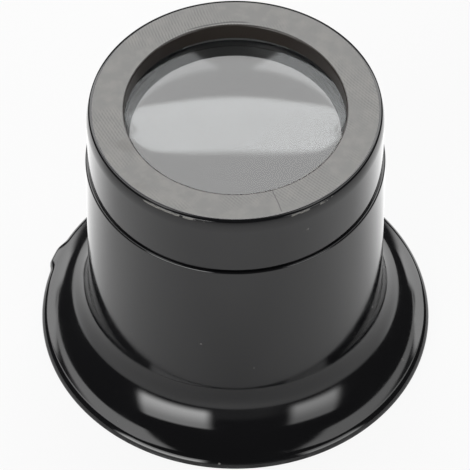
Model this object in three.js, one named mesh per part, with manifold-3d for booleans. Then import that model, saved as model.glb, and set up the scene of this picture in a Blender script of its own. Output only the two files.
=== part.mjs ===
// A jeweller's eye loupe: a flared eye cup, one magnifying lens and the screw cap that holds it.
// Millimetres, +Z up. The origin is on the axis, in the plane that the eye rim stands on.

import * as THREE from 'three';
import { mergeVertices } from 'three/addons/utils/BufferGeometryUtils.js';
import Module from 'manifold-3d';

// Lens: both faces are spherical, the rear one a little steeper
const lensDiameter = 22.2;
const lensEdgeThickness = 2.0;
const frontFaceRadius = 85;
const rearFaceRadius = 70;
const lensBevel = 0.2;

// Screw cap
const overallHeight = 30.3;
const capHeight = 6.6;
const capWall = 0.9;
const lipThickness = 1.75;
const lipOverLens = 0.9;
const capEdgeRound = 0.45;
const apertureBevel = 0.12;
const skirtBevel = 0.08;
const skirtLeadIn = 0.3;

// Eye cup
const spigotWall = 0.85;
const spigotLeadIn = 0.35;
const ledgeUnderLens = 0.9;
const throatLength = 0.8;
const shoulderStep = 0.3;
const shoulderRound = 0.1;
const barrelWall = 1.7;
const barrelDraft = THREE.MathUtils.degToRad(0.8);
const flareRadius = 5.6;
const flareEndSlope = THREE.MathUtils.degToRad(15.25);
const rimRound = 0.85;
const rimEdgeHeight = 0.1;
const rimEdgeRound = 0.08;
const rimLift = 0.1;
const restingRingWidth = 1.8;
const rimInnerBevel = 0.25;

// Moulding gate left on the eye rim
const gateBaseWidth = 4.0;
const gateTipWidth = 2.0;
const gateRoot = 1.0;
const gateProud = 0.35;
const gateHeight = 0.8;
const gateLift = 0.15;
const gateAzimuth = THREE.MathUtils.degToRad(159.3);

// Clearances
const lensSideClearance = 0.2;
const lensFaceClearance = 0.25;
const threadRoom = 0.6;
const seamGap = 0.2;
const spigotEndClearance = 0.25;

// Steps of the turned surfaces
const turnSteps = 64;
const faceSteps = 7;
const flareSteps = 7;
const roundSteps = 4;
const rimSteps = 7;

// Radii, worked outward from the lens to the eye rim
const lensRadius = lensDiameter / 2;
const apertureRadius = lensRadius - lipOverLens;
const throatRadius = lensRadius - ledgeUnderLens;
const seatRadius = lensRadius + lensSideClearance;
const spigotRadius = seatRadius + spigotWall;
const skirtBoreRadius = spigotRadius + threadRoom;
const capRadius = skirtBoreRadius + capWall;
const shoulderRadius = capRadius + shoulderStep;

// Heights, worked down from the cap's front face and up from the resting plane
const lipUnderside = overallHeight - lipThickness;
const capBottom = overallHeight - capHeight;
const shoulderHeight = capBottom - seamGap;
const spigotTop = lipUnderside - spigotEndClearance;
const flareTop = rimEdgeHeight + (rimRound + flareRadius) * Math.cos(flareEndSlope);

// The barrel widens downward by its draft until the flare begins, and the flare runs out into the rolled rim
const draftSlope = Math.tan(barrelDraft);
const flareStartRadius = shoulderRadius + (shoulderHeight - flareTop) * draftSlope;
const flareCentreRadius = flareStartRadius + flareRadius;
const rimCentreRadius = flareCentreRadius - (flareRadius + rimRound) * Math.sin(flareEndSlope);
const rimRadius = rimCentreRadius + rimRound;

// Depth of a spherical face below its own vertex, at a distance from the axis
function sag(sphereRadius, distance) {
  return sphereRadius - Math.sqrt(sphereRadius ** 2 - distance ** 2);
}

const frontVertex = lipUnderside - lensFaceClearance + sag(frontFaceRadius, apertureRadius);
const edgeTop = frontVertex - sag(frontFaceRadius, lensRadius);
const edgeBottom = edgeTop - lensEdgeThickness;
const rearVertex = edgeBottom - sag(rearFaceRadius, lensRadius);

function frontHeight(distance) {
  return frontVertex - sag(frontFaceRadius, distance);
}

function rearHeight(distance) {
  return rearVertex + sag(rearFaceRadius, distance);
}

function point(radius, height) {
  return new THREE.Vector2(radius, height);
}

// Points on an elliptic arc in the half-plane of the axis, both ends included
function ovalPoints(centre, reachAcross, reachUp, fromAngle, toAngle, steps) {
  const points = [];
  for (let i = 0; i <= steps; i += 1) {
    const angle = THREE.MathUtils.lerp(fromAngle, toAngle, i / steps);
    const across = centre.x + reachAcross * Math.cos(angle);
    const up = centre.y + reachUp * Math.sin(angle);
    points.push(point(across, up));
  }
  return points;
}

function arcPoints(centre, radius, fromAngle, toAngle, steps) {
  return ovalPoints(centre, radius, radius, fromAngle, toAngle, steps);
}

// Revolves a profile of radius and height about +Z
function revolve(points) {
  const geometry = new THREE.LatheGeometry(points, turnSteps);
  geometry.rotateX(Math.PI / 2);
  return geometry;
}

// Lens: the rear face outward, the ground edge with its two bevels, the front face back inward
function lensProfile() {
  const faceRadius = lensRadius - lensBevel;
  const points = [];
  for (let i = 0; i <= faceSteps; i += 1) {
    const distance = faceRadius * (i / faceSteps);
    points.push(point(distance, rearHeight(distance)));
  }
  points.push(point(lensRadius, edgeBottom + lensBevel));
  points.push(point(lensRadius, edgeTop - lensBevel));
  for (let i = faceSteps; i >= 0; i -= 1) {
    const distance = faceRadius * (i / faceSteps);
    points.push(point(distance, frontHeight(distance)));
  }
  return points;
}

// Cap: outer skirt upward, front face inward, aperture downward, lip and threaded bore back down
function capProfile() {
  const edgeCentre = point(capRadius - capEdgeRound, overallHeight - capEdgeRound);
  const points = [
    point(capRadius - skirtBevel, capBottom),
    point(capRadius, capBottom + skirtBevel),
    ...arcPoints(edgeCentre, capEdgeRound, 0, Math.PI / 2, roundSteps),
    point(apertureRadius + apertureBevel, overallHeight),
    point(apertureRadius, overallHeight - apertureBevel),
    point(apertureRadius, lipUnderside),
    point(skirtBoreRadius, lipUnderside),
    point(skirtBoreRadius, capBottom + skirtLeadIn),
    point(skirtBoreRadius + skirtLeadIn, capBottom),
  ];
  points.push(points[0].clone());
  return points;
}

// Eye cup outside: rolled rim, trumpet flare, tapered barrel, shoulder and spigot
function cupOutside() {
  const edgeCentre = point(rimRadius - rimEdgeRound, rimEdgeRound);
  const rimCentre = point(rimCentreRadius, rimEdgeHeight);
  const flareCentre = point(flareCentreRadius, flareTop);
  const shoulderCentre = point(shoulderRadius - shoulderRound, shoulderHeight - shoulderRound);
  return [
    ...arcPoints(edgeCentre, rimEdgeRound, -Math.PI / 2, 0, roundSteps),
    ...arcPoints(rimCentre, rimRound, 0, Math.PI / 2 - flareEndSlope, rimSteps),
    ...arcPoints(flareCentre, flareRadius, -Math.PI / 2 - flareEndSlope, -Math.PI, flareSteps).slice(1),
    ...arcPoints(shoulderCentre, shoulderRound, 0, Math.PI / 2, roundSteps),
    point(spigotRadius, shoulderHeight),
    point(spigotRadius, spigotTop - spigotLeadIn),
    point(spigotRadius - spigotLeadIn, spigotTop),
  ];
}

// Eye cup inside: lens seat, sloping ledge, throat, cone, bore and the inner side of the flare
function cupInside() {
  const ledgeOuter = rearHeight(lensRadius) - lensFaceClearance;
  const ledgeInner = rearHeight(throatRadius) - lensFaceClearance;
  const throatEnd = Math.min(shoulderHeight, ledgeInner - throatLength);
  const innerShoulder = shoulderRadius - barrelWall;
  const coneDrop = shoulderHeight - throatEnd - throatRadius;
  const boreTopRadius = (innerShoulder + coneDrop * draftSlope) / (1 - draftSlope);
  const boreTop = throatEnd - (boreTopRadius - throatRadius);
  const flareCentre = point(flareCentreRadius, flareTop);
  const flareAcross = flareRadius + barrelWall;
  const flareDown = flareTop - rimLift;
  const ringInner = rimRadius - restingRingWidth;
  const rimReach = flareCentreRadius - (ringInner - rimInnerBevel);
  const rimAngle = Math.PI + Math.acos(rimReach / flareAcross);
  return [
    point(seatRadius, spigotTop),
    point(seatRadius, ledgeOuter),
    point(throatRadius, ledgeInner),
    point(throatRadius, throatEnd),
    point(boreTopRadius, boreTop),
    ...ovalPoints(flareCentre, flareAcross, flareDown, Math.PI, rimAngle, flareSteps),
    point(ringInner, 0),
  ];
}

function cupProfile() {
  const points = [...cupOutside(), ...cupInside()];
  points.push(points[0].clone());
  return points;
}

// Gate: a short tapered tab whose root is buried in the rim's edge
function gateGeometry() {
  const outline = new THREE.Shape();
  outline.moveTo(rimRadius - gateRoot, -gateBaseWidth / 2);
  outline.lineTo(rimRadius, -gateBaseWidth / 2);
  outline.lineTo(rimRadius + gateProud, -gateTipWidth / 2);
  outline.lineTo(rimRadius + gateProud, gateTipWidth / 2);
  outline.lineTo(rimRadius, gateBaseWidth / 2);
  outline.lineTo(rimRadius - gateRoot, gateBaseWidth / 2);
  outline.closePath();
  const geometry = new THREE.ExtrudeGeometry(outline, { depth: gateHeight, bevelEnabled: false });
  geometry.translate(0, 0, gateLift);
  geometry.rotateZ(gateAzimuth);
  return geometry;
}

const wasm = await Module();
wasm.setup();

function toSolid(geometry) {
  const bare = geometry.clone();
  bare.deleteAttribute('normal');
  bare.deleteAttribute('uv');
  const merged = mergeVertices(bare);
  const vertProperties = new Float32Array(merged.attributes.position.array);
  const triVerts = new Uint32Array(merged.index.array);
  return new wasm.Manifold(new wasm.Mesh({ numProp: 3, vertProperties, triVerts }));
}

function toGeometry(solid) {
  const mesh = solid.getMesh();
  const geometry = new THREE.BufferGeometry();
  geometry.setAttribute('position', new THREE.BufferAttribute(mesh.vertProperties, 3));
  geometry.setIndex(new THREE.BufferAttribute(mesh.triVerts, 1));
  geometry.computeVertexNormals();
  return geometry;
}

const cupMoulding = toSolid(revolve(cupProfile())).add(toSolid(gateGeometry()));

const glossBlack = new THREE.MeshStandardMaterial({ color: 0x17181b, roughness: 0.18, metalness: 0 });
const satinBlack = new THREE.MeshStandardMaterial({ color: 0x26262a, roughness: 0.32, metalness: 0 });
const clearGlass = new THREE.MeshStandardMaterial({ color: 0xdfe6e8, roughness: 0.03, metalness: 0 });
clearGlass.transparent = true;
clearGlass.opacity = 0.35;

function piece(name, geometry, material) {
  const mesh = new THREE.Mesh(geometry, material);
  mesh.name = name;
  return mesh;
}

const loupe = new THREE.Group();
loupe.name = 'jeweler_loupe';
loupe.add(piece('eye_cup', toGeometry(cupMoulding), glossBlack));
loupe.add(piece('lens', revolve(lensProfile()), clearGlass));
loupe.add(piece('lens_cap', revolve(capProfile()), satinBlack));

export default loupe;
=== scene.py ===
import math

import bpy
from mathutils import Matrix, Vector


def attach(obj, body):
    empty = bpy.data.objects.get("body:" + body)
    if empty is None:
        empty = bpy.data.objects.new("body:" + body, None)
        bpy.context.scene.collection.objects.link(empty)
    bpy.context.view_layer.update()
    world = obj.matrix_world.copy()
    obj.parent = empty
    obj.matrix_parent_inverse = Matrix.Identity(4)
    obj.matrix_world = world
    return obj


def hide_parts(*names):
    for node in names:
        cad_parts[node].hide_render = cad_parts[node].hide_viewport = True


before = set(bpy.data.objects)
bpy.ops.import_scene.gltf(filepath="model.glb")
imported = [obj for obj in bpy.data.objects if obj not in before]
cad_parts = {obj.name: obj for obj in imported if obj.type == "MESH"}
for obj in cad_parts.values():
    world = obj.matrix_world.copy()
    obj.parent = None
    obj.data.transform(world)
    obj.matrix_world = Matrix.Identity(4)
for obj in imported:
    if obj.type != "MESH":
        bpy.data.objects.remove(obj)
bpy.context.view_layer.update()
mm = 0.001  # sizes below are in millimetres, and the scene is in metres
print("loupe: frame loaded")


def put(tree, kind, **settings):
    node = tree.nodes.new(kind)
    for name, value in settings.items():
        setattr(node, name, value)
    return node


def feed(tree, socket, value):
    # a socket takes either a link or a plain value
    if isinstance(value, bpy.types.NodeSocket):
        tree.links.new(value, socket)
    else:
        socket.default_value = value


def calc(tree, operation, *values):
    node = put(tree, "ShaderNodeMath", operation=operation)
    for socket, value in zip(node.inputs, values):
        feed(tree, socket, value)
    return node.outputs[0]


def times(tree, product, *others):
    for other in others:
        product = calc(tree, "MULTIPLY", product, other)
    return product


def ramp(tree, value, low, high, atLow=0.0, atHigh=1.0, kind="SMOOTHSTEP"):
    node = put(tree, "ShaderNodeMapRange", interpolation_type=kind)
    names = ("Value", "From Min", "From Max", "To Min", "To Max")
    for name, given in zip(names, (value, low, high, atLow, atHigh)):
        feed(tree, node.inputs[name], given)
    return node.outputs["Result"]


def window(tree, value, low, high, soft):
    # 1 between low and high, with soft shoulders
    rise = ramp(tree, value, low - soft, low + soft)
    fall = ramp(tree, value, high - soft, high + soft, 1.0, 0.0)
    return times(tree, rise, fall)


def split(tree, vector):
    node = put(tree, "ShaderNodeSeparateXYZ")
    feed(tree, node.inputs[0], vector)
    return node.outputs


def combine(tree, *parts):
    node = put(tree, "ShaderNodeCombineXYZ")
    for socket, part in zip(node.inputs, parts):
        feed(tree, socket, part)
    return node.outputs[0]


def noise(tree, vector, scale, detail=2.0, roughness=0.5):
    node = put(tree, "ShaderNodeTexNoise")
    names = ("Vector", "Scale", "Detail", "Roughness")
    for name, given in zip(names, (vector, scale, detail, roughness)):
        feed(tree, node.inputs[name], given)
    return node.outputs[0]


def newGroup(name, inputs, outputs, kind="ShaderNodeTree"):
    tree = bpy.data.node_groups.new(name, kind)
    for label, socketType, start in inputs:
        socket = tree.interface.new_socket(label, in_out="INPUT", socket_type="NodeSocket" + socketType)
        if start is not None:
            socket.default_value = start
    for label, socketType in outputs:
        tree.interface.new_socket(label, in_out="OUTPUT", socket_type="NodeSocket" + socketType)
    return tree, put(tree, "NodeGroupInput").outputs, put(tree, "NodeGroupOutput").inputs


meshing = {"sharpDeg": 30, "seamReach": 1e-6}


def runTree(name, tree, startMesh, values):
    # the tree's result becomes the piece's own plain mesh
    piece = bpy.data.objects.new(name, startMesh)
    modifier = piece.modifiers.new(tree.name, "NODES")
    modifier.node_group = tree
    for item in tree.interface.items_tree:
        if item.in_out == "INPUT" and item.name in values:
            modifier[item.identifier] = values[item.name]
    bpy.context.scene.collection.objects.link(piece)
    shaped = piece.evaluated_get(bpy.context.evaluated_depsgraph_get())
    plain = bpy.data.meshes.new_from_object(shaped)
    piece.modifiers.remove(modifier)
    piece.data = plain
    plain.name = name
    plain.set_sharp_from_angle(angle=math.radians(meshing["sharpDeg"]))
    print("loupe:", name, len(plain.polygons), "faces")
    return piece


def gridPlace(tree, rows):
    # column and row of each point of a grid, which is numbered column by column
    index = put(tree, "GeometryNodeInputIndex").outputs[0]
    column = calc(tree, "FLOOR", calc(tree, "DIVIDE", index, rows))
    return column, calc(tree, "SUBTRACT", index, times(tree, column, rows))


def sampled(tree, kind, geometry, value, index):
    node = put(tree, "GeometryNodeSampleIndex", data_type=kind)
    feed(tree, node.inputs["Geometry"], geometry)
    feed(tree, node.inputs["Value"], value)
    feed(tree, node.inputs["Index"], index)
    return node.outputs["Value"]


def roundPoint(tree, radius, angle, height):
    across = times(tree, radius, calc(tree, "COSINE", angle))
    return combine(tree, across, times(tree, radius, calc(tree, "SINE", angle)), height)


def finishTree(tree, mesh, point, flip, material, target):
    # place the grid's points, close seams and poles, face outward, and set the finish
    moved = put(tree, "GeometryNodeSetPosition")
    feed(tree, moved.inputs["Geometry"], mesh)
    feed(tree, moved.inputs["Position"], point)
    closed = put(tree, "GeometryNodeMergeByDistance")
    feed(tree, closed.inputs["Geometry"], moved.outputs["Geometry"])
    feed(tree, closed.inputs["Distance"], meshing["seamReach"])
    faced = put(tree, "GeometryNodeFlipFaces")
    feed(tree, faced.inputs["Mesh"], closed.outputs["Geometry"])
    feed(tree, faced.inputs["Selection"], flip)
    smooth = put(tree, "GeometryNodeSetShadeSmooth")
    feed(tree, smooth.inputs["Geometry"], faced.outputs["Mesh"])
    real = put(tree, "GeometryNodeRealizeInstances")
    feed(tree, real.inputs["Geometry"], smooth.outputs["Geometry"])
    coated = put(tree, "GeometryNodeSetMaterial")
    feed(tree, coated.inputs["Geometry"], real.outputs["Geometry"])
    feed(tree, coated.inputs["Material"], material)
    feed(tree, target, coated.outputs["Geometry"])


def buildTurnedTree():
    # turns a section about the axis, with a swelling for the moulding gate
    tree, given, result = newGroup("turnedPiece", [
        ("Section", "Geometry", None), ("Steps", "Int", 256),
        ("Gate From", "Float", 0.0), ("Gate Rise", "Float", 1.0),
        ("Gate Fall", "Float", 2.0), ("Gate To", "Float", 3.0), ("Gate Proud", "Float", 0.0),
        ("Finish", "Material", None)], [("Piece", "Geometry")], "GeometryNodeTree")
    count = put(tree, "GeometryNodeAttributeDomainSize", component="MESH")
    feed(tree, count.inputs["Geometry"], given["Section"])
    rows = calc(tree, "ADD", given["Steps"], 1)
    grid = put(tree, "GeometryNodeMeshGrid")
    feed(tree, grid.inputs["Vertices X"], count.outputs["Point Count"])
    feed(tree, grid.inputs["Vertices Y"], rows)
    column, row = gridPlace(tree, rows)
    turn = calc(tree, "DIVIDE", row, given["Steps"])

    position = put(tree, "GeometryNodeInputPosition").outputs[0]
    place = split(tree, sampled(tree, "FLOAT_VECTOR", given["Section"], position, column))
    named = put(tree, "GeometryNodeInputNamedAttribute", data_type="FLOAT")
    feed(tree, named.inputs["Name"], "gateShare")
    share = sampled(tree, "FLOAT", given["Section"], named.outputs["Attribute"], column)

    degrees = times(tree, turn, 360.0)
    rise = ramp(tree, degrees, given["Gate From"], given["Gate Rise"])
    fall = ramp(tree, degrees, given["Gate Fall"], given["Gate To"], 1.0, 0.0)
    proud = times(tree, rise, fall, given["Gate Proud"], share)
    radius = calc(tree, "ADD", place["X"], proud)
    point = roundPoint(tree, radius, times(tree, turn, math.tau), place["Z"])
    finishTree(tree, grid.outputs["Mesh"], point, True, given["Finish"], result["Piece"])
    return tree


def buildThreadTree():
    # winds a ridge round the axis and runs it out at both ends
    tree, given, result = newGroup("screwThread", [
        ("Root Radius", "Float", 0.012), ("Ridge Height", "Float", 0.0004), ("Sink", "Float", 0.00005),
        ("Root Width", "Float", 0.0007), ("Crest Width", "Float", 0.0003), ("Pitch", "Float", 0.0015),
        ("Turns", "Float", 2.0), ("Start Height", "Float", 0.0), ("Run Out", "Float", 0.1),
        ("Steps", "Int", 200), ("Finish", "Material", None)], [("Piece", "Geometry")], "GeometryNodeTree")
    # root width, crest width and rise at each corner of the ridge
    corners = ((-0.5, 0.0, 0.0), (0.0, -0.5, 1.0), (0.0, 0.5, 1.0), (0.5, 0.0, 0.0), (-0.5, 0.0, 0.0))
    grid = put(tree, "GeometryNodeMeshGrid")
    feed(tree, grid.inputs["Vertices X"], len(corners))
    feed(tree, grid.inputs["Vertices Y"], given["Steps"])
    corner, step = gridPlace(tree, given["Steps"])
    along = calc(tree, "DIVIDE", step, calc(tree, "SUBTRACT", given["Steps"], 1))

    shares = []
    for values in zip(*corners):
        pick = put(tree, "GeometryNodeIndexSwitch", data_type="FLOAT")
        while len(pick.index_switch_items) < len(corners):
            pick.index_switch_items.new()
        feed(tree, pick.inputs["Index"], corner)
        for i, value in enumerate(values):
            feed(tree, pick.inputs[i + 1], value)
        shares.append(pick.outputs[0])
    root, crest, risen = shares

    taper = times(tree, ramp(tree, along, 0.0, given["Run Out"]),
                  ramp(tree, calc(tree, "SUBTRACT", 1.0, along), 0.0, given["Run Out"]))
    width = calc(tree, "ADD", times(tree, root, given["Root Width"]), times(tree, crest, given["Crest Width"]))
    sunk = times(tree, given["Sink"], calc(tree, "SIGN", given["Ridge Height"]))
    lift = times(tree, risen, taper, calc(tree, "ADD", given["Ridge Height"], sunk))
    radius = calc(tree, "ADD", calc(tree, "SUBTRACT", given["Root Radius"], sunk), lift)
    turned = times(tree, along, given["Turns"])
    climb = calc(tree, "ADD", given["Start Height"], times(tree, turned, given["Pitch"]))
    height = calc(tree, "ADD", climb, times(tree, width, taper))
    point = roundPoint(tree, radius, times(tree, turned, math.tau), height)
    outward = calc(tree, "GREATER_THAN", given["Ridge Height"], 0.0)
    finishTree(tree, grid.outputs["Mesh"], point, outward, given["Finish"], result["Piece"])
    return tree


def buildRingGroup():
    # distance from the axis and height in millimetres, and the bearing round the axis in degrees
    tree, given, result = newGroup("ringPlace", [("Vector", "Vector", None)],
                                   [("Radius", "Float"), ("Height", "Float"), ("Bearing", "Float")])
    x, y, z = split(tree, given["Vector"])
    squares = calc(tree, "ADD", times(tree, x, x), times(tree, y, y))
    feed(tree, result["Radius"], times(tree, calc(tree, "SQRT", squares), 1 / mm))
    feed(tree, result["Height"], times(tree, z, 1 / mm))
    feed(tree, result["Bearing"], calc(tree, "DEGREES", calc(tree, "ARCTAN2", y, x)))
    return tree


def buildScratchGroup():
    # long thin lines that run one way, broken up by patches
    tree, given, result = newGroup("fineScratches", [
        ("Vector", "Vector", None), ("Scale", "Float", 150.0), ("Stretch", "Float", 18.0),
        ("Turn", "Float", 0.4), ("Width", "Float", 0.012), ("Cover", "Float", 0.5)], [("Mask", "Float")])
    lineDetail, patchEdge = 3.0, 0.12
    laid = put(tree, "ShaderNodeMapping")
    feed(tree, laid.inputs["Vector"], given["Vector"])
    feed(tree, laid.inputs["Rotation"], combine(tree, given["Turn"], given["Turn"], given["Turn"]))
    feed(tree, laid.inputs["Scale"], combine(tree, 1.0, given["Stretch"], given["Stretch"]))
    grain = noise(tree, laid.outputs[0], given["Scale"], lineDetail)
    offLine = calc(tree, "ABSOLUTE", calc(tree, "SUBTRACT", grain, 0.5))
    line = ramp(tree, offLine, 0.0, given["Width"], 1.0, 0.0)
    patch = noise(tree, given["Vector"], given["Scale"])
    bare = calc(tree, "SUBTRACT", 1.0, given["Cover"])
    broken = ramp(tree, patch, bare, calc(tree, "ADD", bare, patchEdge))
    feed(tree, result["Mask"], times(tree, line, broken))
    return tree


def buildSpeckGroup():
    # scattered round specks, each with its own size
    tree, given, result = newGroup("dustSpecks", [
        ("Vector", "Vector", None), ("Scale", "Float", 900.0),
        ("Size", "Float", 0.18), ("Share", "Float", 0.15)], [("Mask", "Float")])
    smallest, core = 0.35, 0.45  # shares of the speck's size
    cells = put(tree, "ShaderNodeTexVoronoi")
    feed(tree, cells.inputs["Vector"], given["Vector"])
    feed(tree, cells.inputs["Scale"], given["Scale"])
    chance = put(tree, "ShaderNodeSeparateColor")
    feed(tree, chance.inputs[0], cells.outputs["Color"])
    reach = times(tree, given["Size"], calc(tree, "ADD", smallest, chance.outputs["Green"]))
    spot = ramp(tree, cells.outputs["Distance"], times(tree, reach, core), reach, 1.0, 0.0)
    kept = calc(tree, "LESS_THAN", chance.outputs["Red"], given["Share"])
    feed(tree, result["Mask"], times(tree, spot, kept))
    return tree


def buildHazeGroup():
    # soft cloudy patches: handling marks and uneven polish
    tree, given, result = newGroup("handlingHaze", [("Vector", "Vector", None), ("Scale", "Float", 120.0)],
                                   [("Value", "Float")])
    detail, roughness, clear, full = 4.0, 0.6, 0.32, 0.68
    cloud = noise(tree, given["Vector"], given["Scale"], detail, roughness)
    feed(tree, result["Value"], ramp(tree, cloud, clear, full))
    return tree


def clearTree(owner):
    owner.use_nodes = True
    owner.node_tree.nodes.clear()
    return owner.node_tree


def newMaterial(name):
    material = bpy.data.materials.new(name)
    tree = clearTree(material)
    shader = put(tree, "ShaderNodeBsdfPrincipled")
    feed(tree, put(tree, "ShaderNodeOutputMaterial").inputs["Surface"], shader.outputs[0])
    return material, tree, shader


def dress(tree, shader, colour, rough):
    feed(tree, shader.inputs["Base Color"], colour)
    feed(tree, shader.inputs["Roughness"], rough)


def objectPlace(tree):
    return put(tree, "ShaderNodeTexCoord").outputs["Object"]


def useGroup(tree, group, **values):
    node = put(tree, "ShaderNodeGroup", node_tree=group)
    for name, value in values.items():
        feed(tree, node.inputs[name], value)
    return node.outputs


def blend(tree, kind, under, over, mask, share):
    # over covers under where the mask is 1, as far as its share
    node = put(tree, "ShaderNodeMix", data_type=kind)
    feed(tree, node.inputs["Factor"], mask if share == 1.0 else times(tree, mask, share))
    feed(tree, node.inputs["A"], under)
    feed(tree, node.inputs["B"], over)
    return node.outputs["Result"]


def tint(tree, under, over, mask, share=1.0):
    return blend(tree, "RGBA", under, over, mask, share)


def level(tree, under, over, mask, share=1.0):
    return blend(tree, "FLOAT", under, over, mask, share)


def bump(tree, height, strength, depth, under=None):
    node = put(tree, "ShaderNodeBump")
    feed(tree, node.inputs["Strength"], strength)
    feed(tree, node.inputs["Distance"], depth * mm)
    feed(tree, node.inputs["Height"], height)
    if under is not None:
        feed(tree, node.inputs["Normal"], under)
    return node.outputs[0]


def clouds(tree, place, scale, detail, *limits):
    return ramp(tree, noise(tree, place, scale, detail), *limits)


def wobble(tree, grain, size):
    return times(tree, calc(tree, "SUBTRACT", grain, 0.5), size)


ringPlace = buildRingGroup()
fineScratches = buildScratchGroup()
dustSpecks = buildSpeckGroup()
handlingHaze = buildHazeGroup()
turnedPiece = buildTurnedTree()
screwThread = buildThreadTree()
print("loupe: node trees built")


def arc(centreR, centreZ, reachR, reachZ, fromDeg, toDeg, steps):
    points = []
    for i in range(steps + 1):
        angle = math.radians(fromDeg + (toDeg - fromDeg) * i / steps)
        points.append((centreR + reachR * math.cos(angle), centreZ + reachZ * math.sin(angle)))
    return points


def held(points, runLength=0.35, hold=0.04):
    # rings close to both ends of a long run keep its shading flat
    full = []
    for (r0, z0), (r1, z1) in zip(points, points[1:]):
        full.append((r0, z0))
        length = math.hypot(r1 - r0, z1 - z0)
        if length > runLength:
            share = hold / length
            full.append((r0 + (r1 - r0) * share, z0 + (z1 - z0) * share))
            full.append((r1 + (r0 - r1) * share, z1 + (z0 - z1) * share))
    return full + [points[-1]]


def sectionMesh(name, points, gateShare=None):
    mesh = bpy.data.meshes.new(name)
    mesh.from_pydata([(r * mm, 0.0, z * mm) for r, z in points], [], [])
    shares = mesh.attributes.new("gateShare", "FLOAT", "POINT")
    for i, (r, z) in enumerate(points):
        shares.data[i].value = gateShare(r, z) if gateShare else 0.0
    return mesh


plastic = {
    "black": (0.0045, 0.0045, 0.0052, 1),
    "dust": (0.17, 0.165, 0.155, 1),
    "scuff": (0.05, 0.05, 0.052, 1),
    "ior": 1.6,
    "hazeScale": 130.0, "roughness": (0.05, 0.12),
    "hair": {"Scale": 140.0, "Stretch": 16.0, "Turn": 0.5, "Width": 0.006, "Cover": 0.46},
    "rub": {"Scale": 95.0, "Stretch": 22.0, "Turn": -0.9, "Width": 0.005, "Cover": 0.42},
    "scuffDepth": 0.5, "scuffShare": 0.25, "scuffRoughness": (0.42, 0.5),  # roughness, share
    "specks": {"Scale": 620.0, "Size": 0.13, "Share": 0.10},
    "dustShare": 0.5, "dustRoughness": (0.7, 0.6),
    "ripple": (260.0, 1.0), "rippleBump": (0.05, 0.04),
}


def plasticBase(name):
    # polished black moulding with handling haze, hairline scuffs and dust
    material, tree, shader = newMaterial(name)
    place = objectPlace(tree)
    haze = useGroup(tree, handlingHaze, Vector=place, Scale=plastic["hazeScale"])["Value"]
    hair = useGroup(tree, fineScratches, Vector=place, **plastic["hair"])["Mask"]
    rub = useGroup(tree, fineScratches, Vector=place, **plastic["rub"])["Mask"]
    scuff = times(tree, calc(tree, "MAXIMUM", hair, rub), plastic["scuffDepth"])
    specks = useGroup(tree, dustSpecks, Vector=place, **plastic["specks"])["Mask"]
    colour = tint(tree, plastic["black"], plastic["scuff"], scuff, plastic["scuffShare"])
    colour = tint(tree, colour, plastic["dust"], specks, plastic["dustShare"])
    rough = ramp(tree, haze, 0.0, 1.0, *plastic["roughness"], kind="LINEAR")
    for mask, (roughness, share) in ((scuff, plastic["scuffRoughness"]), (specks, plastic["dustRoughness"])):
        rough = level(tree, rough, roughness, mask, share)
    normal = bump(tree, noise(tree, place, *plastic["ripple"]), *plastic["rippleBump"])
    shader.inputs["IOR"].default_value = plastic["ior"]
    return material, tree, shader, place, colour, rough, normal, scuff


cupLook = {
    # the bore is left as moulded, duller than the polished outside
    "bore": {"colour": (0.035, 0.034, 0.033, 1), "radius": (12.75, 12.95), "height": (4.5, 26.2, 0.4),
             "clouds": (350.0, 3.0, 0.3, 0.7, 0.7, 1.0), "roughness": 0.5},
    # the seat is rubbed pale by the lens's ground edge
    "seat": {"colour": (0.10, 0.10, 0.102, 1), "radius": (10.3, 11.6, 0.1), "height": (25.6, 28.2, 0.1),
             "roughness": 0.55},
    # the worn edge of the eye rim
    "worn": {"height": (0.06, 0.35, 0.08), "radius": (18.75, 18.9), "clouds": (700.0, 2.0, 0.45, 0.7),
             "share": 0.7, "roughness": 0.36},
    "scuffBump": (0.10, 0.01),
}


def buildCupFinish():
    material, tree, shader, place, colour, rough, normal, scuff = plasticBase("cup_black_plastic")
    ring = useGroup(tree, ringPlace, Vector=place)
    radius, height = ring["Radius"], ring["Height"]
    spec = cupLook["bore"]
    bore = times(tree, ramp(tree, radius, *spec["radius"], 1.0, 0.0), window(tree, height, *spec["height"]))
    colour = tint(tree, colour, spec["colour"], times(tree, bore, clouds(tree, place, *spec["clouds"])))
    rough = level(tree, rough, spec["roughness"], bore)
    spec = cupLook["seat"]
    seat = times(tree, window(tree, radius, *spec["radius"]), window(tree, height, *spec["height"]))
    colour = tint(tree, colour, spec["colour"], seat)
    rough = level(tree, rough, spec["roughness"], seat)
    spec = cupLook["worn"]
    worn = times(tree, window(tree, height, *spec["height"]), ramp(tree, radius, *spec["radius"]),
                 clouds(tree, place, *spec["clouds"]))
    colour = tint(tree, colour, plastic["scuff"], worn, spec["share"])
    rough = level(tree, rough, spec["roughness"], worn)
    dress(tree, shader, colour, rough)
    feed(tree, shader.inputs["Normal"], bump(tree, scuff, *cupLook["scuffBump"], normal))
    return material


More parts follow.
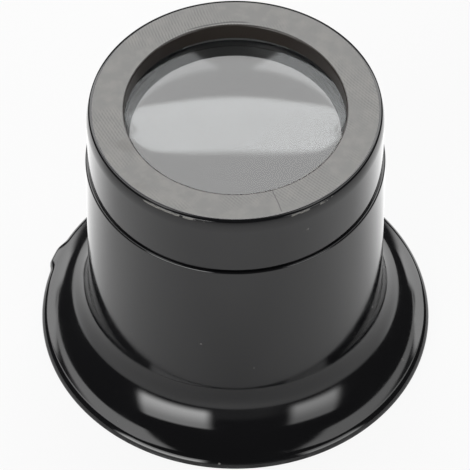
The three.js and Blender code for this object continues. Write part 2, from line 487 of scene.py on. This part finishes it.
capLook = {
    "grey": (0.145, 0.143, 0.136, 1),
    "pale": (0.205, 0.198, 0.182, 1),
    "dark": (0.018, 0.016, 0.014, 1),
    # the facing stops at the soft margins, which keep their gloss
    "faced": {"inner": (10.31, 10.39), "outer": (13.09, 13.17), "height": (30.1, 30.2)},
    "clouds": (900.0, 6.0, 0.36, 0.74, 0.0, 0.6),
    # marks of a turning cutter, in two sets: centres, pitch of the first, and the second's pitch and strength
    "marks": {"centres": ((38, 26), (-46, 9)), "pitch": 0.27, "second": (1.13, 0.25),
              "shake": (900.0, 3.0), "shakeSize": 0.16, "patches": (170.0, 2.0, 0.42, 0.62),
              "pale": (0.0, 1.4, 0.0, 0.75), "dark": (-0.1, -1.4, 0.0, 0.34),
              "roughness": (-1.6, 1.6, 0.28, 0.39), "groove": 0.3, "bump": (0.22, 0.01)},
    "smudge": {"colour": (0.075, 0.066, 0.056, 1), "grain": (190.0, 3.0),
               "limits": (0.66, 0.9, 0.05), "share": 0.4},
    "pits": {"Scale": 420.0, "Size": 0.055, "Share": 0.22}, "pitShare": 0.7,
    "weld": {"bearing": -71.3, "reach": (10.1, 12.95, 0.1), "grain": (700.0, 2.0), "wander": 0.35,
             "width": (0.02, 0.075), "share": 0.75},
    "burr": {"radius": 10.58, "bearing": (84.0, 114.0, 3.0), "grain": (420.0, 3.0), "rag": 0.30,
             "width": (0.05, 0.13), "share": 0.85, "edge": (-0.2, -0.07, 0.04), "edgeShare": 0.6},
    "wall": {"colour": (0.03, 0.0245, 0.0205, 1), "height": (28.4, 28.6), "roughness": 0.3},
    "chips": {"bearings": ((-128.0, -101.0), (-71.0, -48.0)), "ends": 3.0, "height": (29.98, 30.13, 0.04),
              "radius": (13.3, 13.5), "grain": (760.0, 5.0), "rag": 0.4, "spread": (0.66, 0.47), "edge": 0.06,
              "share": 0.9, "roughness": 0.6, "bump": (0.4, 0.03)},
}


def facingMarks(tree, place, centre, pitch):
    # arcs left by a turning cutter whose centre is off the part's axis
    spec = capLook["marks"]
    moved = put(tree, "ShaderNodeMapping")
    feed(tree, moved.inputs["Vector"], place)
    feed(tree, moved.inputs["Location"], (-centre[0] * mm, -centre[1] * mm, 0.0))
    ring = useGroup(tree, ringPlace, Vector=moved.outputs[0])
    shake = times(tree, noise(tree, place, *spec["shake"]), spec["shakeSize"])
    shaken = calc(tree, "ADD", ring["Radius"], shake)
    wave = calc(tree, "SINE", times(tree, shaken, math.tau / pitch))
    return times(tree, wave, clouds(tree, place, *spec["patches"]))


def weldMask(tree, place, radius, bearing):
    # a line where the melt met, from the aperture to the outer edge
    spec = capLook["weld"]
    wander = wobble(tree, noise(tree, place, *spec["grain"]), spec["wander"])
    turned = times(tree, calc(tree, "SUBTRACT", bearing, spec["bearing"]), math.radians(1))
    away = calc(tree, "ABSOLUTE", calc(tree, "ADD", times(tree, turned, radius), wander))
    return times(tree, ramp(tree, away, *spec["width"], 1.0, 0.0), window(tree, radius, *spec["reach"]))


def burrMasks(tree, place, radius, bearing):
    # a burr left beside the aperture's far edge, and the pale edge along it
    spec = capLook["burr"]
    ragged = calc(tree, "ADD", radius, wobble(tree, noise(tree, place, *spec["grain"]), spec["rag"]))
    off = calc(tree, "SUBTRACT", ragged, spec["radius"])
    sector = window(tree, bearing, *spec["bearing"])
    burr = times(tree, ramp(tree, calc(tree, "ABSOLUTE", off), *spec["width"], 1.0, 0.0), sector)
    return burr, times(tree, window(tree, off, *spec["edge"]), sector)


def chipMask(tree, place, radius, height, bearing):
    # chipped flash under the front edge, most of it within two bearings
    spec = capLook["chips"]
    flash = noise(tree, place, *spec["grain"])
    ragged = calc(tree, "ADD", height, wobble(tree, flash, spec["rag"]))
    sides = [window(tree, bearing, *ends, spec["ends"]) for ends in spec["bearings"]]
    spread = level(tree, *spec["spread"], calc(tree, "MAXIMUM", *sides))
    broken = ramp(tree, flash, spread, calc(tree, "ADD", spread, spec["edge"]))
    return times(tree, window(tree, ragged, *spec["height"]), broken, ramp(tree, radius, *spec["radius"]))


def faceColour(tree, place, marks, weld, burr, burrEdge):
    pale, dark = capLook["pale"], capLook["dark"]
    grey = tint(tree, capLook["grey"], pale, clouds(tree, place, *capLook["clouds"]))
    grey = tint(tree, grey, pale, ramp(tree, marks, *capLook["marks"]["pale"]))
    grey = tint(tree, grey, dark, ramp(tree, marks, *capLook["marks"]["dark"]))
    spec = capLook["smudge"]
    smudge = window(tree, noise(tree, place, *spec["grain"]), *spec["limits"])
    grey = tint(tree, grey, spec["colour"], smudge, spec["share"])
    pits = useGroup(tree, dustSpecks, Vector=place, **capLook["pits"])["Mask"]
    grey = tint(tree, grey, dark, pits, capLook["pitShare"])
    grey = tint(tree, grey, dark, weld, capLook["weld"]["share"])
    grey = tint(tree, grey, pale, burrEdge, capLook["burr"]["edgeShare"])
    return tint(tree, grey, dark, burr, capLook["burr"]["share"])


def buildCapFinish():
    material, tree, shader, place, colour, rough, normal, _ = plasticBase("cap_black_plastic")
    ring = useGroup(tree, ringPlace, Vector=place)
    radius, height, bearing = ring["Radius"], ring["Height"], ring["Bearing"]
    faced, spec = capLook["faced"], capLook["marks"]
    face = times(tree, ramp(tree, radius, *faced["inner"]), ramp(tree, radius, *faced["outer"], 1.0, 0.0),
                 ramp(tree, height, *faced["height"]))
    first = facingMarks(tree, place, spec["centres"][0], spec["pitch"])
    second = facingMarks(tree, place, spec["centres"][1], spec["pitch"] * spec["second"][0])
    marks = calc(tree, "ADD", first, times(tree, second, spec["second"][1]))
    weld = weldMask(tree, place, radius, bearing)
    burr, burrEdge = burrMasks(tree, place, radius, bearing)
    # the wall of the aperture
    wallSpec = capLook["wall"]
    wall = times(tree, ramp(tree, radius, *faced["inner"], 1.0, 0.0), ramp(tree, height, *wallSpec["height"]))
    colour = tint(tree, colour, wallSpec["colour"], wall)
    rough = level(tree, rough, wallSpec["roughness"], wall)
    colour = tint(tree, colour, faceColour(tree, place, marks, weld, burr, burrEdge), face)
    rough = level(tree, rough, ramp(tree, marks, *spec["roughness"], kind="LINEAR"), face)
    chipSpec = capLook["chips"]
    chips = chipMask(tree, place, radius, height, bearing)
    colour = tint(tree, colour, capLook["pale"], chips, chipSpec["share"])
    rough = level(tree, rough, chipSpec["roughness"], chips)
    dress(tree, shader, colour, rough)
    grooves = calc(tree, "SUBTRACT", times(tree, marks, spec["groove"]), calc(tree, "ADD", weld, burr))
    normal = bump(tree, times(tree, grooves, face), *spec["bump"], normal)
    feed(tree, shader.inputs["Normal"], bump(tree, chips, *chipSpec["bump"], normal))
    return material


lensLook = {
    "tint": (0.935, 0.965, 0.975, 1),
    "ior": 1.78,
    "hazeScale": 210.0, "roughness": (0.0, 0.003),
    "specks": {"Scale": 700.0, "Size": 0.10, "Share": 0.05},
    "wipe": {"Scale": 120.0, "Stretch": 20.0, "Turn": 0.2, "Width": 0.004, "Cover": 0.4},
    "speckRoughness": (0.3, 0.7), "wipeRoughness": (0.02, 0.5),  # roughness, share
    # the ground edge and its bevels are rough; their dark grey tone is painted shade standing in for the dark
    # gap under the cap's lip
    "ground": (0.2, 0.21, 0.21, 1), "groundFrom": (10.86, 10.94), "groundRoughness": 0.5,
}


def buildLensFinish():
    material, tree, shader = newMaterial("lens_clear_glass")
    place = objectPlace(tree)
    ring = useGroup(tree, ringPlace, Vector=place)
    edge = ramp(tree, ring["Radius"], *lensLook["groundFrom"])
    haze = useGroup(tree, handlingHaze, Vector=place, Scale=lensLook["hazeScale"])["Value"]
    specks = useGroup(tree, dustSpecks, Vector=place, **lensLook["specks"])["Mask"]
    wipe = useGroup(tree, fineScratches, Vector=place, **lensLook["wipe"])["Mask"]
    rough = ramp(tree, haze, 0.0, 1.0, *lensLook["roughness"], kind="LINEAR")
    for mask, (roughness, share) in ((specks, lensLook["speckRoughness"]), (wipe, lensLook["wipeRoughness"])):
        rough = level(tree, rough, roughness, mask, share)
    rough = level(tree, rough, lensLook["groundRoughness"], edge)
    # the dark grey tone on the ground edge is painted shade, not the glass's own colour
    dress(tree, shader, tint(tree, lensLook["tint"], lensLook["ground"], edge), rough)
    shader.inputs["IOR"].default_value = lensLook["ior"]
    shader.inputs["Transmission Weight"].default_value = 1.0
    return material


cupFinish = buildCupFinish()
capFinish = buildCapFinish()
glassFinish = buildLensFinish()
print("loupe: finishes made")


cup = {
    "rimRound": 0.85, "rimEdge": 0.1, "rimEdgeRound": 0.08, "flare": 5.6, "flareEndDeg": 15.25,
    "rimLift": 0.1, "restingRing": 1.8, "rimInnerBevel": 0.25,
    "wall": 1.7, "draftDeg": 0.8,
    "shoulderRadius": 13.95, "shoulder": 23.5, "shoulderRound": 0.17,
    "spigotRadius": 12.15, "spigotTop": 28.3, "spigotLeadIn": 0.35,
    "seatRadius": 11.3, "ledgeOuter": 25.936, "throatRadius": 10.2, "ledgeInner": 25.797,
    "steps": 384, "cornerSteps": 8, "rimSteps": 28, "flareSteps": 36, "insideSteps": 30,
    # bearings of the moulding gate on the rim, and where the section follows its swelling
    "gate": {"from": 152.6, "rise": 157.6, "fall": 161.8, "to": 165.4, "proud": 0.35},
    "swell": {"inner": 18.2, "outward": 0.5, "top": 1.3, "upper": 0.6, "lower": 0.15},
}


def cupSection():
    # outside from the rim up to the spigot, then inside back down
    draft = math.tan(math.radians(cup["draftDeg"]))
    flareEnd, sweep = math.radians(cup["flareEndDeg"]), cup["flare"] + cup["rimRound"]
    flareTop = cup["rimEdge"] + sweep * math.cos(flareEnd)
    flareCentre = cup["shoulderRadius"] + (cup["shoulder"] - flareTop) * draft + cup["flare"]
    rimCentre = flareCentre - sweep * math.sin(flareEnd)
    rimRadius = rimCentre + cup["rimRound"]
    edge, corner, around = cup["rimEdgeRound"], cup["shoulderRound"], cup["cornerSteps"]
    points = arc(rimRadius - edge, edge, edge, edge, -90, 0, around)
    points += arc(rimCentre, cup["rimEdge"], cup["rimRound"], cup["rimRound"],
                  0, 90 - cup["flareEndDeg"], cup["rimSteps"])
    points += arc(flareCentre, flareTop, cup["flare"], cup["flare"],
                  -90 - cup["flareEndDeg"], -180, cup["flareSteps"])[1:]
    points += arc(cup["shoulderRadius"] - corner, cup["shoulder"] - corner, corner, corner, 0, 90, around)
    points += [(cup["spigotRadius"], cup["shoulder"]),
               (cup["spigotRadius"], cup["spigotTop"] - cup["spigotLeadIn"]),
               (cup["spigotRadius"] - cup["spigotLeadIn"], cup["spigotTop"]),
               (cup["seatRadius"], cup["spigotTop"]),
               (cup["seatRadius"], cup["ledgeOuter"]),
               (cup["throatRadius"], cup["ledgeInner"]),
               (cup["throatRadius"], cup["shoulder"])]
    coneEnd = (cup["shoulderRadius"] - cup["wall"] - cup["throatRadius"] * draft) / (1 - draft)
    points.append((coneEnd, cup["shoulder"] - (coneEnd - cup["throatRadius"])))
    innerReach, innerDrop = cup["flare"] + cup["wall"], flareTop - cup["rimLift"]
    ringInner = rimRadius - cup["restingRing"]
    last = 180 + math.degrees(math.acos((flareCentre - ringInner + cup["rimInnerBevel"]) / innerReach))
    points += arc(flareCentre, flareTop, innerReach, innerDrop, 180, last, cup["insideSteps"])
    points += [(ringInner, 0.0), points[0]]
    return points


def gateShare(r, z):
    # how far a point of the rim follows the moulding gate's swelling
    swell = cup["swell"]
    if r < swell["inner"] or z > swell["top"]:
        return 0.0
    outward = min(1.0, (r - swell["inner"]) / swell["outward"])
    upper = min(1.0, (swell["top"] - z) / swell["upper"])
    lower = min(1.0, max(0.0, z / swell["lower"]))
    return outward * upper * lower


cupMesh = sectionMesh("eyeCupSection", held(cupSection()), gateShare)
gate = cup["gate"]
eyeCup = runTree("eye_cup_moulding", turnedPiece, cupMesh, {
    "Steps": cup["steps"], "Gate From": gate["from"], "Gate Rise": gate["rise"], "Gate Fall": gate["fall"],
    "Gate To": gate["to"], "Gate Proud": gate["proud"] * mm, "Finish": cupFinish})
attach(eyeCup, "eye_cup")
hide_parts("eye_cup")


lens = {
    "radius": 11.1, "frontRadius": 85.0, "rearRadius": 70.0, "frontVertex": 28.914, "rearVertex": 25.3,
    "bevel": 0.2, "edgeBottom": 26.186, "edgeTop": 28.186, "steps": 256, "rings": 40,
}


def sag(sphere, distance):
    return sphere - math.sqrt(sphere ** 2 - distance ** 2)


def lensSection():
    reach = lens["radius"] - lens["bevel"]
    spread = [reach * i / lens["rings"] for i in range(lens["rings"] + 1)]
    rear = [(r, lens["rearVertex"] + sag(lens["rearRadius"], r)) for r in spread]
    front = [(r, lens["frontVertex"] - sag(lens["frontRadius"], r)) for r in reversed(spread)]
    rim = [(lens["radius"], lens["edgeBottom"] + lens["bevel"]),
           (lens["radius"], lens["edgeTop"] - lens["bevel"])]
    return rear + rim + front


lensMesh = sectionMesh("lensSection", lensSection())
glass = runTree("lens_glass", turnedPiece, lensMesh, {"Steps": lens["steps"], "Finish": glassFinish})
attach(glass, "lens")
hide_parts("lens")


cap = {
    "radius": 13.69, "bottom": 23.55, "top": 30.3, "aperture": 10.2, "apertureBevel": 0.16,
    # the front edge: a soft wall, a tight corner and a soft margin of the face, each a round and its end tilt
    "edge": ((3.4, 20.0), (0.1, 50.0), (0.55, 90.0)),
    "lipUnderside": 28.55, "bore": 12.75, "skirtBevel": 0.05, "leadIn": 0.3,
    "steps": 384, "skirtSteps": 6, "edgeSteps": 12, "apertureSteps": 5,
}


def capSection():
    # skirt upward, face inward, aperture downward, then the lip and the bore
    soft, inner = cap["skirtBevel"], cap["apertureBevel"]
    points = arc(cap["radius"] - soft, cap["bottom"] + soft, soft, soft, -90, 0, cap["skirtSteps"])
    corner, tilt = [(cap["radius"], 0.0)], 0.0
    for size, end in cap["edge"]:
        r, z = corner[-1]
        turn = math.radians(tilt)
        centre = (r - size * math.cos(turn), z - size * math.sin(turn))
        corner += arc(*centre, size, size, tilt, end, cap["edgeSteps"])[1:]
        tilt = end
    points += [(r, cap["top"] + z - corner[-1][1]) for r, z in corner]
    points += arc(cap["aperture"] + inner, cap["top"] - inner, inner, inner, 90, 180, cap["apertureSteps"])
    points += [(cap["aperture"], cap["lipUnderside"]), (cap["bore"], cap["lipUnderside"]),
               (cap["bore"], cap["bottom"] + cap["leadIn"]), (cap["bore"] + cap["leadIn"], cap["bottom"])]
    return points + [points[0]]


capMesh = sectionMesh("lensCapSection", held(capSection()))
lensCap = runTree("lens_cap_moulding", turnedPiece, capMesh, {"Steps": cap["steps"], "Finish": capFinish})
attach(lensCap, "lens_cap")
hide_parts("lens_cap")


# male on the spigot and female in the cap, half a pitch apart
thread = {
    "pitch": 1.5, "ridge": 0.42, "rootWidth": 0.72, "crestWidth": 0.3, "sink": 0.05,
    "turns": 2.3, "maleStart": 24.2, "femaleStart": 24.95, "runOut": 0.09, "steps": 240,
}


def cutThread(name, rootRadius, ridge, startHeight, material):
    return runTree(name, screwThread, bpy.data.meshes.new(name), {
        "Root Radius": rootRadius * mm, "Ridge Height": ridge * mm, "Sink": thread["sink"] * mm,
        "Root Width": thread["rootWidth"] * mm, "Crest Width": thread["crestWidth"] * mm,
        "Pitch": thread["pitch"] * mm, "Turns": thread["turns"], "Start Height": startHeight * mm,
        "Run Out": thread["runOut"], "Steps": thread["steps"], "Finish": material})


maleThread = cutThread("spigot_thread", cup["spigotRadius"], thread["ridge"], thread["maleStart"], cupFinish)
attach(maleThread, "eye_cup")
femaleThread = cutThread("cap_thread", cap["bore"], -thread["ridge"], thread["femaleStart"], capFinish)
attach(femaleThread, "lens_cap")
print("loupe: pieces placed")


paper = {
    "size": 3.0,  # metres
    # the paper falls into shade away from the loupe
    "near": (0.8, 0.8, 0.8, 1), "far": (0.2, 0.2, 0.2, 1), "fall": (35.0, 210.0),
    "glow": 0.88,  # share of plain white that the camera sees
    # behind the loupe the lit paper is brighter in reflections
    "shineFrom": -5.0, "shineTo": 20.0, "shineShare": 0.85, "shine": 1.75,
}


def buildFloor():
    half = paper["size"] / 2
    mesh = bpy.data.meshes.new("studio_floor")
    corners = [(-half, -half, 0), (half, -half, 0), (half, half, 0), (-half, half, 0)]
    mesh.from_pydata(corners, [], [(0, 1, 2, 3)])
    floor = bpy.data.objects.new("studio_floor", mesh)
    bpy.context.scene.collection.objects.link(floor)
    material = bpy.data.materials.new("floor_paper")
    tree = clearTree(material)
    place = objectPlace(tree)
    shade = ramp(tree, useGroup(tree, ringPlace, Vector=place)["Radius"], *paper["fall"])
    sheet = put(tree, "ShaderNodeBsdfDiffuse")
    feed(tree, sheet.inputs["Color"], tint(tree, paper["near"], paper["far"], shade))
    path = put(tree, "ShaderNodeLightPath")
    direct = times(tree, path.outputs["Is Camera Ray"], paper["glow"])
    behind = ramp(tree, split(tree, place)["Y"], paper["shineFrom"] * mm, paper["shineTo"] * mm,
                  0.0, paper["shineShare"])
    behind = times(tree, behind, calc(tree, "SUBTRACT", 1.0, shade))
    mirrored = times(tree, path.outputs["Is Glossy Ray"], behind)
    glow = put(tree, "ShaderNodeEmission")
    feed(tree, glow.inputs["Strength"], level(tree, 1.0, paper["shine"], path.outputs["Is Glossy Ray"]))
    mix = put(tree, "ShaderNodeMixShader")
    feed(tree, mix.inputs[0], calc(tree, "MAXIMUM", direct, mirrored))
    feed(tree, mix.inputs[1], sheet.outputs[0])
    feed(tree, mix.inputs[2], glow.outputs[0])
    feed(tree, put(tree, "ShaderNodeOutputMaterial").inputs["Surface"], mix.outputs[0])
    mesh.materials.append(material)


light = {
    "ambient": 0.06,
    # the back panel in slopes: rise over depth, and side over depth
    # its edges, each a start, a droop toward the sides and a softness, stop at the floor's slope
    "back": {"low": (0.70, 0.9, 0.11), "high": (2.287, 0.58, 0.2), "floorSlope": 0.32,
             "widens": (0.7, 1.05), "side": (0.9, 1.22), "sideSoft": 0.08,
             "middle": (0.635, 0.773), "reach": 46.0, "reachSoft": 2.0,
             "gain": (0.9, 1.8, 0.95, 1.12), "level": 4.0, "leastDepth": 0.001},
    # two bowed strips overhead, on a ceiling one unit up: near edge, far edge, and reach to the side
    "bow": {"near": (-0.30, 0.80), "far": (0.16, 0.7), "tail": (0.245, -0.8), "soft": 0.04,
            "side": (0.1, 1.5, 0.03), "left": 2.8, "right": 2.0, "leastHeight": 0.05},
    # the front panels, in degrees, are brighter low down
    "fronts": ({"bearing": (-164.0, -121.0, 3.5), "level": 3.4},
               {"bearing": (116.0, 146.0, 3.5), "level": 2.0}),
    "frontFoot": (0.0, 14.0), "frontTop": (39.0, 43.0), "frontFade": (12.0, 38.0, 2.2, 1.0),
    # a faint fill low in front
    "fillDepth": (-0.8, -0.95), "fillHeight": (14.0, 26.0), "fill": 0.16,
}


def frontPanel(tree, elevation, bearing, spec):
    upright = times(tree, ramp(tree, elevation, *light["frontFoot"]),
                    ramp(tree, elevation, *light["frontTop"], 1.0, 0.0))
    strength = times(tree, ramp(tree, elevation, *light["frontFade"]), spec["level"])
    return times(tree, upright, window(tree, bearing, *spec["bearing"]), strength)


def past(tree, value, edge, soft, *ends):
    # 0 before the edge and 1 past it, unless other ends are given
    return ramp(tree, calc(tree, "SUBTRACT", value, edge), -soft, soft, *ends)


def backPanel(tree, x, y, z, spec):
    depth = calc(tree, "MAXIMUM", y, spec["leastDepth"])
    rise, side = calc(tree, "DIVIDE", z, depth), calc(tree, "DIVIDE", x, depth)
    square = times(tree, side, side)
    edges = []
    for start, droop, soft in (spec["low"], spec["high"]):
        edge = calc(tree, "SUBTRACT", start, times(tree, square, droop))
        edges.append(past(tree, rise, calc(tree, "MAXIMUM", edge, spec["floorSlope"]), soft))
    lit = calc(tree, "SUBTRACT", *edges)
    # narrower at the foot, with rounded corners, and brighter high up
    reach = ramp(tree, rise, *spec["widens"], *spec["side"])
    lit = times(tree, lit, past(tree, calc(tree, "ABSOLUTE", side), reach, spec["sideSoft"], 1.0, 0.0))
    nearness = calc(tree, "ADD", *(times(tree, way, share) for way, share in zip((y, z), spec["middle"])))
    rounded = [math.cos(math.radians(spec["reach"] + off)) for off in (spec["reachSoft"], -spec["reachSoft"])]
    gain = ramp(tree, rise, *spec["gain"], kind="LINEAR")
    return times(tree, lit, ramp(tree, nearness, *rounded), gain, spec["level"])


def bowStrips(tree, x, y, z, spec):
    height = calc(tree, "MAXIMUM", z, spec["leastHeight"])
    side, depth = calc(tree, "DIVIDE", x, height), calc(tree, "DIVIDE", y, height)
    away, square = calc(tree, "ABSOLUTE", side), times(tree, side, side)
    edges = []
    for way, (start, bend) in ((square, spec["near"]), (square, spec["far"]), (away, spec["tail"])):
        edge = calc(tree, "ADD", times(tree, way, bend), start)
        edges.append(past(tree, depth, edge, spec["soft"]))
    near, far, tail = edges
    strip = times(tree, calc(tree, "SUBTRACT", near, far), tail, window(tree, away, *spec["side"]))
    rightward = calc(tree, "GREATER_THAN", x, 0.0)
    return times(tree, strip, level(tree, spec["left"], spec["right"], rightward))


def buildLight():
    # soft panels behind the loupe and on both sides of the camera, and two strips overhead
    world = bpy.data.worlds.new("studio")
    bpy.context.scene.world = world
    tree = clearTree(world)
    x, y, z = split(tree, put(tree, "ShaderNodeTexCoord").outputs["Generated"])
    elevation = calc(tree, "DEGREES", calc(tree, "ARCSINE", z))
    bearing = calc(tree, "DEGREES", calc(tree, "ARCTAN2", x, y))
    back, bow = backPanel(tree, x, y, z, light["back"]), bowStrips(tree, x, y, z, light["bow"])
    fill = times(tree, ramp(tree, y, *light["fillDepth"]),
                 ramp(tree, elevation, *light["fillHeight"], light["fill"], 0.0))
    total = calc(tree, "ADD", calc(tree, "ADD", calc(tree, "MAXIMUM", back, bow), fill), light["ambient"])
    for spec in light["fronts"]:
        total = calc(tree, "ADD", total, frontPanel(tree, elevation, bearing, spec))
    path = put(tree, "ShaderNodeLightPath")
    sky = put(tree, "ShaderNodeBackground")
    feed(tree, sky.inputs["Strength"], level(tree, total, 1.0, path.outputs["Is Camera Ray"]))
    feed(tree, put(tree, "ShaderNodeOutputWorld").inputs["Surface"], sky.outputs[0])


view = {
    "distance": 327.6, "elevation": 50.6, "centre": 15.15, "aim": (-0.038, -1.604, 13.83),
    "lens": 264.8, "sensor": 36.0, "nearest": 10.0,
}


def buildCamera():
    lensData = bpy.data.cameras.new("camera")
    lensData.lens = view["lens"]
    lensData.sensor_width = view["sensor"]
    lensData.clip_start = view["nearest"] * mm
    camera = bpy.data.objects.new("camera", lensData)
    tilt = math.radians(view["elevation"])
    spot = Vector((0, -math.cos(tilt), math.sin(tilt))) * view["distance"] + Vector((0, 0, view["centre"]))
    camera.location = spot * mm
    camera.rotation_euler = (Vector(view["aim"]) - spot).to_track_quat("-Z", "Y").to_euler()
    bpy.context.scene.collection.objects.link(camera)
    bpy.context.scene.camera = camera


buildFloor()
buildLight()
buildCamera()
bpy.context.scene.view_settings.view_transform = "Standard"
print("loupe: studio ready")
